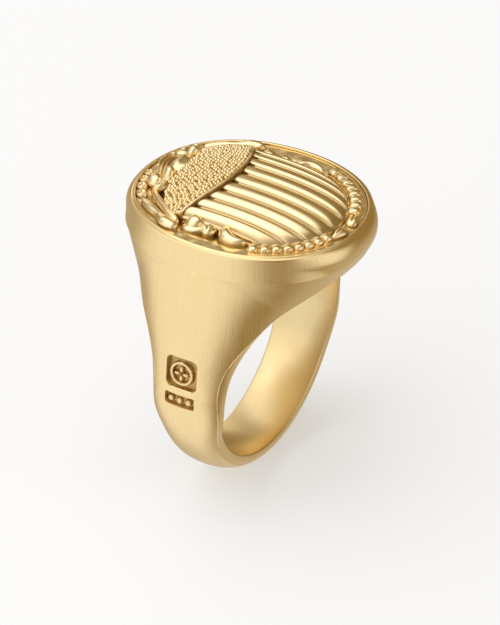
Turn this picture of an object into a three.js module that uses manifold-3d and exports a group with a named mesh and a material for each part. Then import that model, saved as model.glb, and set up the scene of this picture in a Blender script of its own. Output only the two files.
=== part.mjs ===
// Signet ring with a scarab crest, in millimetres.
// Frame: the finger axis is Y, the crest looks along +Z, the beetle's head points along +Y,
// and the origin is the centre of the finger bore.
import * as THREE from 'three';
import { mergeVertices } from 'three/addons/utils/BufferGeometryUtils.js';
import Module from 'manifold-3d';

// ---- driving dimensions ----------------------------------------------------------------------
const BORE_RADIUS = 9.9;           // finger bore, a size 10 ring
const BAND_THICKNESS = 1.75;       // metal under the finger
const SIDE_THICKNESS = 1.85;       // metal beside the finger
const BAND_HALF_WIDTH = 2.6;       // half the band's width at its bore edge, under the finger
const ROOF_THICKNESS = 2.1;        // metal between the bore and the crest plate's seat
const CREST_HALF_X = 8.73;         // opening of the rim, half-size across the finger
const CREST_HALF_Y = 10.0;         // and along it
const BEETLE_HALF_WIDTH = 6.05;    // half-width of the beetle's wing case
const HEAD_EXPONENT = 2.13;        // how square the ovals of the head are
const SEAT_MARGIN = 0.57;          // the seat stands this far outside the rim's opening
const RIM_HEIGHT = 2.2;            // seat to the lip of the rim
const RIM_WIDTH = 0.96;            // how far the rim bulges outside its opening
const GROUND_SINK = 0.5;           // crest ground below the lip
const FIT_GAP = 0.03;              // joint gap round the crest plate
const BAND_FLANK_STEP = 0.35;      // the crown springs this far outside the bore edge
const EDGE_BAND_LOW = 0.55;        // width of the polished side band, low on the ring
const EDGE_BAND_HIGH = 1.0;        // and under the head
const FOOT_WIDTH = 10;             // reach of the file that flattens the foot
const FOOT_DEPTH = 0.08;           // how deep that flat is filed
const STAMP_DEPTH = 0.3;           // how deep the two stamps are struck

const BAND_BOTTOM_RADIUS = BORE_RADIUS + BAND_THICKNESS;
const BAND_SIDE_RADIUS = BORE_RADIUS + SIDE_THICKNESS;
const SEAT_HEIGHT = BORE_RADIUS + ROOF_THICKNESS;
const SEAT_HALF_X = CREST_HALF_X + SEAT_MARGIN;
const SEAT_HALF_Y = CREST_HALF_Y + SEAT_MARGIN;
const LIP_HEIGHT = SEAT_HEIGHT + RIM_HEIGHT;
const GROUND_HEIGHT = LIP_HEIGHT - GROUND_SINK;

// How the bore edge widens from the band to the head, against height as a share of the bore radius.
const BORE_EDGE_WIDENING = [
  [-1, 0], [-0.6, 0.01], [-0.2, 0.07], [0.2, 0.14], [0.55, 0.33], [0.8, 0.6], [1, 1],
];
const HEAD_EDGE_SHARE = 0.785;     // bore edge under the head, as a share of the seat's half-length
// How the outline across the finger closes in from the band to the seat, against height.
const SHOULDER_CLOSING = [[0, 0], [0.333, 0.14], [0.667, 0.53], [0.875, 0.83], [1, 1]];
// How the outline along the finger flares out from the band to the seat, against height.
const FLANK_FLARING = [[0, 0], [0.167, 0.06], [0.45, 0.26], [0.658, 0.47], [0.825, 0.71], [1, 1]];

// The relief is drawn on a crest of this size, and stretched to the crest and beetle above.
const DRAWN_HALF_X = 8.73;
const DRAWN_HALF_Y = 10.0;
const WING_HALF_WIDTH = 6.05;
const WING_RISE = 2.25;            // dome of the wing case above the ground
const RIB_EDGES = [0.8, 2.33, 3.74, 4.98, WING_HALF_WIDTH];
const RIB_DEPTH = 0.4;
const WING_FRONT = 1.42;
const WING_SPAN_X = 6.9;
const WING_SPAN_Y = 9.2;
const WING_CENTRE_Y = 1.0;
const THORAX_RISE = 2.45;
const THORAX_SPAN_Y = 7.4;
const THORAX_HALF_WIDTH = 6.15;
const JOINT_GAP = 0.06;            // gap between neighbouring relief pieces
const HEAD_FRONT = 9.15;
const EYE_PLACE = [2.5, 7.2];
const BEAD_COUNT = 8;
const BEAD_RING = 0.895;           // where the bead chain runs, as a share of the crest oval
const BEAD_FROM = 3.62;            // and between which angles
const BEAD_TO = 4.46;

// ---- materials ---------------------------------------------------------------------------------
const satinGold = new THREE.MeshStandardMaterial({ color: 0xd2a860, roughness: 0.42, metalness: 1 });
const polishedGold = new THREE.MeshStandardMaterial({ color: 0xdcb36a, roughness: 0.16, metalness: 1 });
const grainedGold = new THREE.MeshStandardMaterial({ color: 0xcfa25a, roughness: 0.3, metalness: 1 });

// ---- small maths helpers -------------------------------------------------------------------------
const clamp = (value, low, high) => Math.min(high, Math.max(low, value));
const mix = (from, to, share) => from + (to - from) * share;

function smooth(from, to, value) {
  const share = clamp((value - from) / (to - from), 0, 1);
  return share * share * (3 - 2 * share);
}

// Smooth curve through rows of [position, value], with no overshoot.
function curveThrough(rows) {
  const gaps = rows.slice(1).map((row, i) => row[0] - rows[i][0]);
  const slopes = rows.slice(1).map((row, i) => (row[1] - rows[i][1]) / gaps[i]);
  const tangents = rows.map((_, i) => {
    if (i === 0) return slopes[0];
    if (i === rows.length - 1) return slopes[i - 1];
    if (slopes[i - 1] * slopes[i] <= 0) return 0;
    const left = 2 * gaps[i] + gaps[i - 1];
    const right = gaps[i] + 2 * gaps[i - 1];
    return (left + right) / (left / slopes[i - 1] + right / slopes[i]);
  });
  return (position) => {
    const at = clamp(position, rows[0][0], rows[rows.length - 1][0]);
    let i = 0;
    while (i < rows.length - 2 && at > rows[i + 1][0]) i += 1;
    const t = (at - rows[i][0]) / gaps[i];
    const t2 = t * t;
    const t3 = t2 * t;
    return rows[i][1] * (2 * t3 - 3 * t2 + 1)
      + gaps[i] * tangents[i] * (t3 - 2 * t2 + t)
      + rows[i + 1][1] * (3 * t2 - 2 * t3)
      + gaps[i] * tangents[i + 1] * (t3 - t2);
  };
}

// Point on a slightly squared oval.
function ovalPoint(halfX, halfY, angle) {
  const power = 2 / HEAD_EXPONENT;
  const c = Math.cos(angle);
  const s = Math.sin(angle);
  return [
    halfX * Math.sign(c) * Math.abs(c) ** power,
    halfY * Math.sign(s) * Math.abs(s) ** power,
  ];
}

// ---- mesh helpers ----------------------------------------------------------------------------------
// Collects triangles by corner position and drops any that collapse to a line.
class Skin {
  constructor() {
    this.places = new Map();
    this.corners = [];
    this.faces = [];
  }

  corner([x, y, z]) {
    const key = [x, y, z].map((v) => Math.round(v * 1e4)).join(',');
    if (!this.places.has(key)) {
      this.places.set(key, this.corners.length / 3);
      this.corners.push(x, y, z);
    }
    return this.places.get(key);
  }

  triangle(a, b, c) {
    const ids = [this.corner(a), this.corner(b), this.corner(c)];
    if (ids[0] === ids[1] || ids[1] === ids[2] || ids[2] === ids[0]) return;
    this.faces.push(...ids);
  }

  quad(a, b, c, d) {
    this.triangle(a, b, c);
    this.triangle(a, c, d);
  }

  geometry() {
    const geometry = new THREE.BufferGeometry();
    geometry.setAttribute('position', new THREE.Float32BufferAttribute(this.corners, 3));
    geometry.setIndex(this.faces);
    return geometry;
  }
}

// Skin over a stack of closed loops, each with the same number of points, capped by fans.
function loopStack(loops) {
  const skin = new Skin();
  const count = loops[0].length;
  for (let i = 0; i < loops.length - 1; i += 1) {
    for (let j = 0; j < count; j += 1) {
      const k = (j + 1) % count;
      skin.quad(loops[i][j], loops[i][k], loops[i + 1][k], loops[i + 1][j]);
    }
  }
  const middle = (loop) => [0, 1, 2].map((axis) => loop.reduce((sum, p) => sum + p[axis], 0) / count);
  const first = loops[0];
  const last = loops[loops.length - 1];
  for (let j = 0; j < count; j += 1) {
    const k = (j + 1) % count;
    skin.triangle(middle(first), first[k], first[j]);
    skin.triangle(middle(last), last[j], last[k]);
  }
  return skin.geometry();
}

// Relief block on the ground: a grid of columns, flat underneath, its top given by `top(x, y)`.
function reliefBlock(columns, rows, placeAt, top) {
  const skin = new Skin();
  const above = [];
  const below = [];
  for (let i = 0; i < columns; i += 1) {
    above.push([]);
    below.push([]);
    for (let j = 0; j < rows; j += 1) {
      const [x, y] = placeAt(i, j / (rows - 1));
      above[i].push([x, y, top(x, y)]);
      below[i].push([x, y, 0]);
    }
  }
  for (let i = 0; i < columns - 1; i += 1) {
    for (let j = 0; j < rows - 1; j += 1) {
      skin.quad(above[i][j], above[i + 1][j], above[i + 1][j + 1], above[i][j + 1]);
      skin.quad(below[i][j], below[i][j + 1], below[i + 1][j + 1], below[i + 1][j]);
    }
    const end = rows - 1;
    skin.quad(below[i][0], below[i + 1][0], above[i + 1][0], above[i][0]);
    skin.quad(below[i + 1][end], below[i][end], above[i][end], above[i + 1][end]);
  }
  const last = columns - 1;
  for (let j = 0; j < rows - 1; j += 1) {
    skin.quad(below[0][j + 1], below[0][j], above[0][j], above[0][j + 1]);
    skin.quad(below[last][j], below[last][j + 1], above[last][j + 1], above[last][j]);
  }
  return skin.geometry();
}

// Rounded pebble on the ground, from a closed outline turning anticlockwise about a middle point.
function pebble(outline, middle, height, levels = 4) {
  const loops = [outline.map(([x, y]) => [x, y, 0])];
  for (let i = 0; i < levels; i += 1) {
    const angle = (Math.PI / 2) * (i / levels);
    const share = Math.cos(angle) * 0.98 + 0.02;
    const rise = height * (0.25 + 0.75 * Math.sin(angle));
    loops.push(outline.map(([x, y]) => [mix(middle[0], x, share), mix(middle[1], y, share), rise]));
  }
  return loopStack(loops);
}

function roundPebble(centre, radii, turn, height, corners = 14) {
  const outline = [];
  for (let i = 0; i < corners; i += 1) {
    const angle = (2 * Math.PI * i) / corners;
    const along = radii[0] * Math.cos(angle);
    const across = radii[1] * Math.sin(angle);
    outline.push([
      centre[0] + along * Math.cos(turn) - across * Math.sin(turn),
      centre[1] + along * Math.sin(turn) + across * Math.cos(turn),
    ]);
  }
  return pebble(outline, centre, height);
}

// Half-round bar lying on the ground along a smooth path of [x, y, half-width, height].
function groundBar(stops, pieces) {
  const path = new THREE.CatmullRomCurve3(stops.map(([x, y]) => new THREE.Vector3(x, y, 0)));
  const widths = curveThrough(stops.map((stop, i) => [i / (stops.length - 1), stop[2]]));
  const heights = curveThrough(stops.map((stop, i) => [i / (stops.length - 1), stop[3]]));
  const arcSteps = 6;
  const loops = [];
  for (let i = 0; i <= pieces; i += 1) {
    const t = i / pieces;
    const place = path.getPoint(t);
    const ahead = path.getTangent(t);
    const loop = [];
    for (let j = 0; j <= arcSteps; j += 1) {
      const angle = Math.PI * (j / arcSteps);
      const across = widths(t) * Math.cos(angle);
      loop.push([
        place.x + ahead.y * across,
        place.y - ahead.x * across,
        heights(t) * Math.sin(angle),
      ]);
    }
    loops.push(loop);
  }
  return loopStack(loops.reverse());
}

function mirrored(geometry) {
  const copy = geometry.clone();
  const corners = copy.attributes.position;
  const faces = Array.from(copy.index.array);
  for (let i = 0; i < corners.count; i += 1) corners.setX(i, -corners.getX(i));
  for (let i = 0; i < faces.length; i += 3) [faces[i], faces[i + 1]] = [faces[i + 1], faces[i]];
  copy.setIndex(faces);
  return copy;
}

// ---- joining and cutting ---------------------------------------------------------------------------
const wasm = await Module();
wasm.setup();

function toSolid(geometry) {
  const plain = geometry.clone();
  plain.deleteAttribute('normal');
  plain.deleteAttribute('uv');
  const merged = mergeVertices(plain, 1e-4);
  return new wasm.Manifold(new wasm.Mesh({
    numProp: 3,
    vertProperties: new Float32Array(merged.attributes.position.array),
    triVerts: new Uint32Array(merged.index.array),
  }));
}

function toGeometry(solid) {
  const mesh = solid.getMesh();
  const geometry = new THREE.BufferGeometry();
  geometry.setAttribute('position', new THREE.BufferAttribute(mesh.vertProperties, 3));
  geometry.setIndex(Array.from(mesh.triVerts));
  return geometry;
}

// ---- shank -------------------------------------------------------------------------------------------
const headEdge = HEAD_EDGE_SHARE * SEAT_HALF_Y;
const boreEdge = curveThrough(BORE_EDGE_WIDENING.map(
  ([share, step]) => [share * BORE_RADIUS, mix(BAND_HALF_WIDTH, headEdge, step)],
));
const shoulder = curveThrough(SHOULDER_CLOSING.map(
  ([share, step]) => [share * SEAT_HEIGHT, mix(BAND_SIDE_RADIUS, SEAT_HALF_X, step)],
));

// Half-length along the finger of the oval that a level slice cuts through the head.
const levelShare = (x, height) => (
  Math.max(1 - clamp(x / shoulder(height), 0, 1) ** HEAD_EXPONENT, 0) ** (1 / HEAD_EXPONENT)
);
const flareStart = (boreEdge(0) + BAND_FLANK_STEP) / levelShare(BORE_RADIUS, 0);
const flare = curveThrough(FLANK_FLARING.map(
  ([share, step]) => [share * SEAT_HEIGHT, mix(flareStart, SEAT_HALF_Y, step)],
));

// Distance from the finger axis to the outside of the ring, `angle` up from +X.
function outsideRadius(angle) {
  if (angle <= 0) return mix(BAND_BOTTOM_RADIUS, BAND_SIDE_RADIUS, smooth(-Math.PI / 2, 0, angle));
  const seat = SEAT_HEIGHT / Math.sin(angle);
  if (seat * Math.cos(angle) <= SEAT_HALF_X + 1e-6) return seat;
  let low = BORE_RADIUS;
  let high = seat;
  for (let i = 0; i < 50; i += 1) {
    const middle = (low + high) / 2;
    const outside = middle * Math.cos(angle) > shoulder(middle * Math.sin(angle));
    if (outside) high = middle;
    else low = middle;
  }
  return low;
}

// Half-width of the ring at a share of the way out from the bore.
function halfWidth(angle, share) {
  const radius = mix(BORE_RADIUS, outsideRadius(angle), share);
  const springing = boreEdge(BORE_RADIUS * Math.sin(angle)) + BAND_FLANK_STEP;
  const band = springing * Math.max(1 - share ** 2, 0) ** (1 / 2.3);
  const height = clamp(radius * Math.sin(angle), 0, SEAT_HEIGHT);
  const head = flare(height) * levelShare(radius * Math.cos(angle), height);
  return mix(band, head, smooth(-25, 40, THREE.MathUtils.radToDeg(angle)));
}

// Half of one cross-section, bore edge first, as [radius, half-width] rows.
function halfSection(angle, steps) {
  const outside = outsideRadius(angle);
  const edgeHeight = BORE_RADIUS * Math.sin(angle);
  const bandWidth = mix(EDGE_BAND_LOW, EDGE_BAND_HIGH, smooth(-2, BORE_RADIUS, edgeHeight));
  const first = bandWidth / (outside - BORE_RADIUS);
  const rows = [[BORE_RADIUS, boreEdge(edgeHeight)]];
  for (let i = 0; i <= steps; i += 1) {
    const share = mix(first, 1, Math.sin((Math.PI / 2) * (i / steps)));
    rows.push([mix(BORE_RADIUS, outside, share), halfWidth(angle, share)]);
  }
  return rows;
}

// Angles up from +X: evenly round the band, then one for each point of the seat oval.
function sectionAngles() {
  const corner = Math.atan2(SEAT_HEIGHT, SEAT_HALF_X);
  const angles = [];
  const bandSteps = 34;
  for (let i = 0; i <= bandSteps; i += 1) angles.push(mix(-Math.PI / 2, corner, i / bandSteps));
  const seatSteps = 12;
  for (let i = 1; i <= seatSteps; i += 1) {
    const x = SEAT_HALF_X * Math.cos((Math.PI / 2) * (i / seatSteps));
    angles.push(Math.atan2(SEAT_HEIGHT, x));
  }
  return angles;
}

function shankGeometry() {
  const skin = new Skin();
  const steps = 9;
  const quarter = sectionAngles();
  const place = (angle, [radius, y], side) => (
    [side * radius * Math.cos(angle), y, radius * Math.sin(angle)]
  );
  for (const side of [1, -1]) {
    for (let i = 0; i < quarter.length - 1; i += 1) {
      const loops = [quarter[i], quarter[i + 1]].map((angle) => {
        const half = halfSection(angle, steps);
        const near = half.map(([radius, width]) => place(angle, [radius, -width], side));
        const far = half.map(([radius, width]) => place(angle, [radius, width], side)).reverse();
        return [...near, ...far];
      });
      if (side < 0) loops.reverse();
      const count = loops[0].length;
      for (let j = 0; j < count; j += 1) {
        const k = (j + 1) % count;
        skin.quad(loops[0][j], loops[0][k], loops[1][k], loops[1][j]);
      }
    }
  }
  return skin.geometry();
}

// Shallow stamped recess on the band: a box sunk into the -X side at a height.
function stampCutter(width, height, centreHeight) {
  const angle = Math.asin(centreHeight / BAND_SIDE_RADIUS);
  const box = new THREE.BoxGeometry(2 * STAMP_DEPTH, width, height);
  box.rotateY(angle);
  box.translate(-BAND_SIDE_RADIUS * Math.cos(angle), -0.2, centreHeight);
  return toSolid(box);
}

function footCutter() {
  const box = new THREE.BoxGeometry(FOOT_WIDTH, FOOT_WIDTH, 1);
  box.translate(0, 0, -BAND_BOTTOM_RADIUS + FOOT_DEPTH - 0.5);
  return toSolid(box);
}

function shank() {
  return toGeometry(toSolid(shankGeometry())
    .subtract(stampCutter(2.8, 3.0, 2.8))
    .subtract(stampCutter(2.7, 1.5, 0.2))
    .subtract(footCutter()));
}

// ---- rim and plate -----------------------------------------------------------------------------------
// Each row: how far outside the crest oval, and how far below the lip, as shares of the rim's size.
const RIM_PROFILE = [
  [0, 1], [0, 0.036], [0.1, 0], [0.31, 0.027], [0.62, 0.11], [0.85, 0.27],
  [1, 0.5], [0.99, 0.73], [0.83, 0.91], [0.58, 1],
];

function bezelRim() {
  const skin = new Skin();
  const corners = 88;
  const count = RIM_PROFILE.length;
  const place = (row, turn) => {
    const offset = RIM_WIDTH * RIM_PROFILE[row][0];
    const [x, y] = ovalPoint(CREST_HALF_X + offset, CREST_HALF_Y + offset, (2 * Math.PI * turn) / corners);
    return [x, y, LIP_HEIGHT - RIM_HEIGHT * RIM_PROFILE[row][1]];
  };
  for (let turn = 0; turn < corners; turn += 1) {
    const next = (turn + 1) % corners;
    for (let row = 0; row < count; row += 1) {
      const below = (row + 1) % count;
      skin.quad(place(row, turn), place(below, turn), place(below, next), place(row, next));
    }
  }
  return skin.geometry();
}

function crestPlate() {
  const corners = 88;
  const ring = (shrink, height) => Array.from({ length: corners }, (_, i) => {
    const [x, y] = ovalPoint(CREST_HALF_X - shrink, CREST_HALF_Y - shrink, (2 * Math.PI * i) / corners);
    return [x, y, height];
  });
  return loopStack([ring(FIT_GAP, SEAT_HEIGHT), ring(FIT_GAP, GROUND_HEIGHT)]);
}

// ---- beetle ------------------------------------------------------------------------------------------
function domeShare(x, y, spanY) {
  const left = 1 - (Math.abs(x) / WING_SPAN_X) ** 2.4 - (Math.abs(y - WING_CENTRE_Y) / spanY) ** 2.2;
  return Math.max(left, 0) ** 0.48;
}

function ribDrop(x) {
  const across = Math.abs(x);
  const rib = RIB_EDGES.findIndex((edge) => across <= edge + 1e-6);
  const low = rib === 0 ? -RIB_EDGES[0] : RIB_EDGES[rib - 1];
  const middle = (RIB_EDGES[rib] + low) / 2;
  const reach = (RIB_EDGES[rib] - low) / 2;
  return RIB_DEPTH * Math.abs((across - middle) / reach) ** 2.4;
}

function wingTail(x) {
  const left = 1 - (Math.abs(x) / WING_SPAN_X) ** 2.4;
  return WING_CENTRE_Y - WING_SPAN_Y * (left - 0.02) ** (1 / 2.2);
}

function wingCase() {
  const across = [-RIB_EDGES[0]];
  const addRib = (low, high) => {
    for (const share of [0.12, 0.3, 0.5, 0.7, 0.88, 1]) across.push(mix(low, high, share));
  };
  addRib(-RIB_EDGES[0], RIB_EDGES[0]);
  for (let i = 1; i < RIB_EDGES.length; i += 1) addRib(RIB_EDGES[i - 1], RIB_EDGES[i]);
  const columns = [...across.filter((x) => x > RIB_EDGES[0]).map((x) => -x).reverse(), ...across];
  const frontAt = (x) => WING_FRONT + 0.05 * x * x - JOINT_GAP;
  const placeAt = (i, share) => {
    const x = columns[i];
    return [x, mix(frontAt(x), wingTail(x), Math.sin((Math.PI / 2) * share))];
  };
  const top = (x, y) => {
    const dome = WING_RISE * domeShare(x, y, WING_SPAN_Y);
    return Math.max(dome - ribDrop(x) * Math.min(1, dome), 0.12);
  };
  return flipped(reliefBlock(columns.length, 12, placeAt, top));
}

// Turns a skin inside out, for blocks whose rows run towards -Y.
function flipped(geometry) {
  const faces = Array.from(geometry.index.array);
  for (let i = 0; i < faces.length; i += 3) [faces[i], faces[i + 1]] = [faces[i + 1], faces[i]];
  geometry.setIndex(faces);
  return geometry;
}

function thoraxFront(x) {
  return 3.2 + 3.2 * Math.max(1 - (Math.abs(x) / (THORAX_HALF_WIDTH + 0.1)) ** 2.6, 0) ** (1 / 2.2);
}

function thoraxShield() {
  const columns = 25;
  const placeAt = (i, share) => {
    const x = THORAX_HALF_WIDTH * Math.sin((Math.PI / 2) * (2 * (i / (columns - 1)) - 1));
    return [x, mix(WING_FRONT + 0.05 * x * x, thoraxFront(x), share)];
  };
  const top = (x, y) => THORAX_RISE * domeShare(x, y, THORAX_SPAN_Y);
  return reliefBlock(columns, 10, placeAt, top);
}

function headShield() {
  const columns = 17;
  const back = thoraxFront(0) + JOINT_GAP;
  const placeAt = (i, share) => {
    const across = 2 * (i / (columns - 1)) - 1;
    const half = mix(1.55, 3.3, smooth(0.45, 0.8, share));
    const x = across * half;
    return [x, mix(back, HEAD_FRONT - 0.35 * across ** 2, share)];
  };
  const top = (x, y) => {
    const slope = 1.75 - 1.15 * smooth(back, HEAD_FRONT, y);
    const flutes = 0.12 * Math.cos(x * 5) * smooth(7.8, 8.4, y);
    return slope * (1 - 0.045 * x * x) + flutes - 0.1;
  };
  return reliefBlock(columns, 9, placeAt, top);
}

// ---- border ornament, drawn for the -X side -----------------------------------------------------------
const foreleg = () => groundBar([
  [-3.9, 7.95, 0.18, 0.35], [-4.6, 6.95, 0.32, 0.6], [-5.45, 5.85, 0.34, 0.65],
  [-6.1, 4.9, 0.36, 0.65], [-6.65, 4.1, 0.3, 0.5],
], 12);

const sideScroll = () => groundBar([
  [-5.5, 7.3, 0.16, 0.3], [-6.25, 6.5, 0.3, 0.5], [-6.85, 5.55, 0.26, 0.5],
  [-7.45, 4.5, 0.34, 0.55], [-7.75, 3.4, 0.2, 0.35],
], 12);

function drop() {
  const outline = [];
  const corners = 16;
  for (let i = 0; i < corners; i += 1) {
    const angle = (2 * Math.PI * i) / corners;
    const width = 0.62 * Math.sin(angle) * (1 - 0.42 * Math.cos(angle));
    const along = 0.85 * Math.cos(angle);
    const turn = 0.45;
    outline.push([
      -7.0 + along * Math.cos(turn) - width * Math.sin(turn),
      1.75 + along * Math.sin(turn) + width * Math.cos(turn),
    ]);
  }
  return pebble(outline, [-7.0, 1.75], 0.75);
}

const smallLeaf = () => roundPebble([-6.95, 0.2], [0.62, 0.4], 1.2, 0.55);

const hindLeg = () => groundBar([
  [-6.5, -0.85, 0.16, 0.4], [-7.25, -1.0, 0.4, 0.6], [-7.6, -1.75, 0.48, 0.7],
  [-7.35, -2.6, 0.46, 0.7], [-6.7, -3.05, 0.2, 0.4],
], 12);

function beadChain() {
  const at = (angle) => ovalPoint(DRAWN_HALF_X * BEAD_RING, DRAWN_HALF_Y * BEAD_RING, angle);
  const strip = [];
  for (let i = 0; i < 6; i += 1) {
    const [x, y] = at(mix(BEAD_FROM, BEAD_TO, i / 5));
    strip.push([x, y, 0.3, 0.2]);
  }
  let chain = toSolid(groundBar(strip, 12));
  for (let i = 0; i < BEAD_COUNT; i += 1) {
    const angle = mix(BEAD_FROM + 0.04, BEAD_TO - 0.04, i / (BEAD_COUNT - 1));
    chain = chain.add(toSolid(roundPebble(at(angle), [0.36, 0.36], angle, 0.42, 8)));
  }
  return toGeometry(chain);
}

const tailLeaf = () => roundPebble([-1.25, -9.2], [0.8, 0.42], -0.15, 0.5);

// ---- assembly ------------------------------------------------------------------------------------------
const ring = new THREE.Group();
ring.name = 'signet_ring';

// How far out a drawn point lies on the crest: 0 in the middle, 1 on the rim.
function crestShare(x, y) {
  const across = Math.abs(x / DRAWN_HALF_X) ** HEAD_EXPONENT;
  const along = Math.abs(y / DRAWN_HALF_Y) ** HEAD_EXPONENT;
  return (across + along) ** (1 / HEAD_EXPONENT);
}

// Stretches a relief piece from the drawn crest to the real one and stands it on the ground.
// Across the ring the beetle and the rim may stretch differently; the border between them blends.
function ontoCrest(geometry) {
  const corners = geometry.attributes.position;
  const beetleStretch = BEETLE_HALF_WIDTH / WING_HALF_WIDTH;
  const rimStretch = CREST_HALF_X / DRAWN_HALF_X;
  const beetleShare = WING_HALF_WIDTH / DRAWN_HALF_X;
  for (let i = 0; i < corners.count; i += 1) {
    const share = crestShare(corners.getX(i), corners.getY(i));
    const outward = clamp((share - beetleShare) / (1 - beetleShare), 0, 1);
    corners.setX(i, corners.getX(i) * mix(beetleStretch, rimStretch, outward));
  }
  return geometry
    .scale(1, CREST_HALF_Y / DRAWN_HALF_Y, 1)
    .translate(0, 0, GROUND_HEIGHT);
}

function add(parent, name, geometry, material) {
  const mesh = new THREE.Mesh(geometry, material);
  mesh.name = name;
  parent.add(mesh);
}

function addRelief(parent, name, geometry, material) {
  add(parent, name, ontoCrest(geometry), material);
}

function addPair(parent, name, geometry, material) {
  addRelief(parent, `${name}_right`, mirrored(geometry), material);
  addRelief(parent, `${name}_left`, geometry, material);
}

add(ring, 'shank', shank(), satinGold);
add(ring, 'bezel_rim', bezelRim(), polishedGold);
add(ring, 'crest_plate', crestPlate(), polishedGold);

const beetle = new THREE.Group();
beetle.name = 'beetle';
addRelief(beetle, 'wing_case', wingCase(), polishedGold);
addRelief(beetle, 'thorax_shield', thoraxShield(), grainedGold);
addRelief(beetle, 'head_shield', headShield(), polishedGold);
addPair(beetle, 'eye', roundPebble([-EYE_PLACE[0], EYE_PLACE[1]], [0.72, 0.52], 0.5, 1.55), polishedGold);
ring.add(beetle);

const border = new THREE.Group();
border.name = 'border';
addPair(border, 'foreleg', foreleg(), polishedGold);
addPair(border, 'side_scroll', sideScroll(), polishedGold);
addPair(border, 'drop', drop(), polishedGold);
addPair(border, 'small_leaf', smallLeaf(), polishedGold);
addPair(border, 'hind_leg', hindLeg(), polishedGold);
addPair(border, 'bead_chain', beadChain(), polishedGold);
addPair(border, 'tail_leaf', tailLeaf(), polishedGold);
ring.add(border);

export default ring;
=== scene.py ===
"""Signet ring with a beetle crest: the visual model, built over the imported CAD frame."""
import math

import bmesh
import bpy
import numpy as np
from bpy.props import FloatProperty, FloatVectorProperty, IntProperty, PointerProperty
from mathutils import Matrix, Vector


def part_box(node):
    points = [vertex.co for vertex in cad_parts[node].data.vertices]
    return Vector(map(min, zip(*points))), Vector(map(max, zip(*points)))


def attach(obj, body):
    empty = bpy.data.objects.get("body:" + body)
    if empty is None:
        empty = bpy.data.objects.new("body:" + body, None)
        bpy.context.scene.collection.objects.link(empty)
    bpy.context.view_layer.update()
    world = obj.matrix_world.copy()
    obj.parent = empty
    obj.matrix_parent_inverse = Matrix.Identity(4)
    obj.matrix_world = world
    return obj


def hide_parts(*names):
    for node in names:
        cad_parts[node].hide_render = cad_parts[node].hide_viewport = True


bl_info = {
    "name": "Signet Ring",
    "version": (1, 0, 0),
    "blender": (4, 5, 0),
    "location": "3D View > Sidebar > Signet Ring",
    "description": "Builds a gold signet ring with a beetle crest in high relief",
    "category": "Add Mesh",
}

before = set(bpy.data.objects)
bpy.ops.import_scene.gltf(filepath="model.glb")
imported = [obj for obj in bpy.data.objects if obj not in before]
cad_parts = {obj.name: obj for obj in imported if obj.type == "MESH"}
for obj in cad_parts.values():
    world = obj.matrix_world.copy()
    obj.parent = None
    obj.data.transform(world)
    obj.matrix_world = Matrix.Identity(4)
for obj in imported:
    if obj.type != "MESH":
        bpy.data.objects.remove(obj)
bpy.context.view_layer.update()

MM = 0.001                # the shapes below are worked out in millimetres
HEAD_EXPONENT = 2.13      # how square the ovals of the head are
WING_HALF_WIDTH = 6.05    # half-width of the beetle's wing case
RIB_EDGES = (0.8, 2.33, 3.74, 4.98, WING_HALF_WIDTH)
DOME_HALF_X = 6.9         # the domes of wing case and shield spring from this oval
DOME_CENTRE_Y = 1.0
WING_REACH_Y = 9.65
SHIELD_REACH_Y = 7.4
SHIELD_HALF_WIDTH = 6.15
SHIELD_REAR_Y = 1.42
SHIELD_LIP = 0.24         # width of the smooth lip along the shield's rear edge
WING_RISE = 2.25
SHIELD_RISE = 2.58
RELIEF_ROOT = 0.2         # how far the beetle's parts reach down into the plate
BORDER_LIFT = 0.2         # the plate's slope lifts the border ornament by this much
PLATE_RISE = 0.34         # how far the plate climbs towards the rim
PLATE_GAP = 0.02          # between the plate and the rim's lip
FLANK_STEP = 0.35         # how far the flank stands out from the bore edge
STAMPED_SWELL = 0.085     # how much wider the stamped side is, as a share
STAMPED_ARC = (-0.16, 0.47)  # angles, in radians, between which the stamps lie


# ---- Settings a user can change ----
def hex_colour(code):
    """An sRGB hex colour as the linear red, green and blue that shaders take."""
    shares = [int(code[i:i + 2], 16) / 255 for i in (1, 3, 5)]
    return tuple(c / 12.92 if c <= 0.04045 else ((c + 0.055) / 1.055) ** 2.4 for c in shares)


def length(name, description, millimetres):
    """A setting that holds a length."""
    return FloatProperty(
        name=name, description=description, default=millimetres * MM, unit="LENGTH", precision=5)


def colour(name, description, code):
    """A setting that holds a colour."""
    return FloatVectorProperty(
        name=name, description=description, subtype="COLOR", size=3, default=hex_colour(code),
        min=0, max=1)


def roughness(name, description, value):
    """A setting that holds a roughness."""
    return FloatProperty(
        name=name, description=description, default=value, min=0, max=1, subtype="FACTOR")


class RingSizes(bpy.types.PropertyGroup):
    bore_radius: length("Bore radius", "Radius of the finger bore", 9.9)
    band_half_width: length(
        "Band half-width", "Half the width of the bore edge under the finger", 2.6)
    edge_band: length(
        "Edge band", "Width of the polished band beside the bore, low on the ring", 0.95)
    stamp_depth: length("Stamp depth", "How deep the two stamps are struck", 0.42)
    rib_depth: length("Rib depth", "Depth of the grooves between the ribs of the wing case", 0.36)
    grain_pitch: length("Grain pitch", "Distance between the grains on the shield", 0.38)
    bead_count: IntProperty(
        name="Beads", description="Beads in each chain of the border", default=8, min=2, max=20)


class RingFinish(bpy.types.PropertyGroup):
    # Gold is the metal's own colour. The second colour is painted shade: a darker gold mixed into
    # the hollows of the relief and into the stamps.
    gold: colour("Gold", "Colour of the gold where it is clean and bright", "#FCE2AA")
    painted_shade_gold: colour("Deep gold", "Colour of the gold deep in the relief", "#A6844B")
    satin: roughness("Satin", "Roughness of the brushed shank", 0.31)
    polish: roughness("Polish", "Roughness of the polished parts", 0.22)


def sizes():
    return bpy.context.scene.ring_sizes


def finish():
    return bpy.context.scene.ring_finish


# ---- Small maths ----
def mix(low, high, share):
    return low + (high - low) * share


def smooth(low, high, value):
    share = np.clip((value - low) / (high - low), 0, 1)
    return share * share * (3 - 2 * share)


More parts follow.
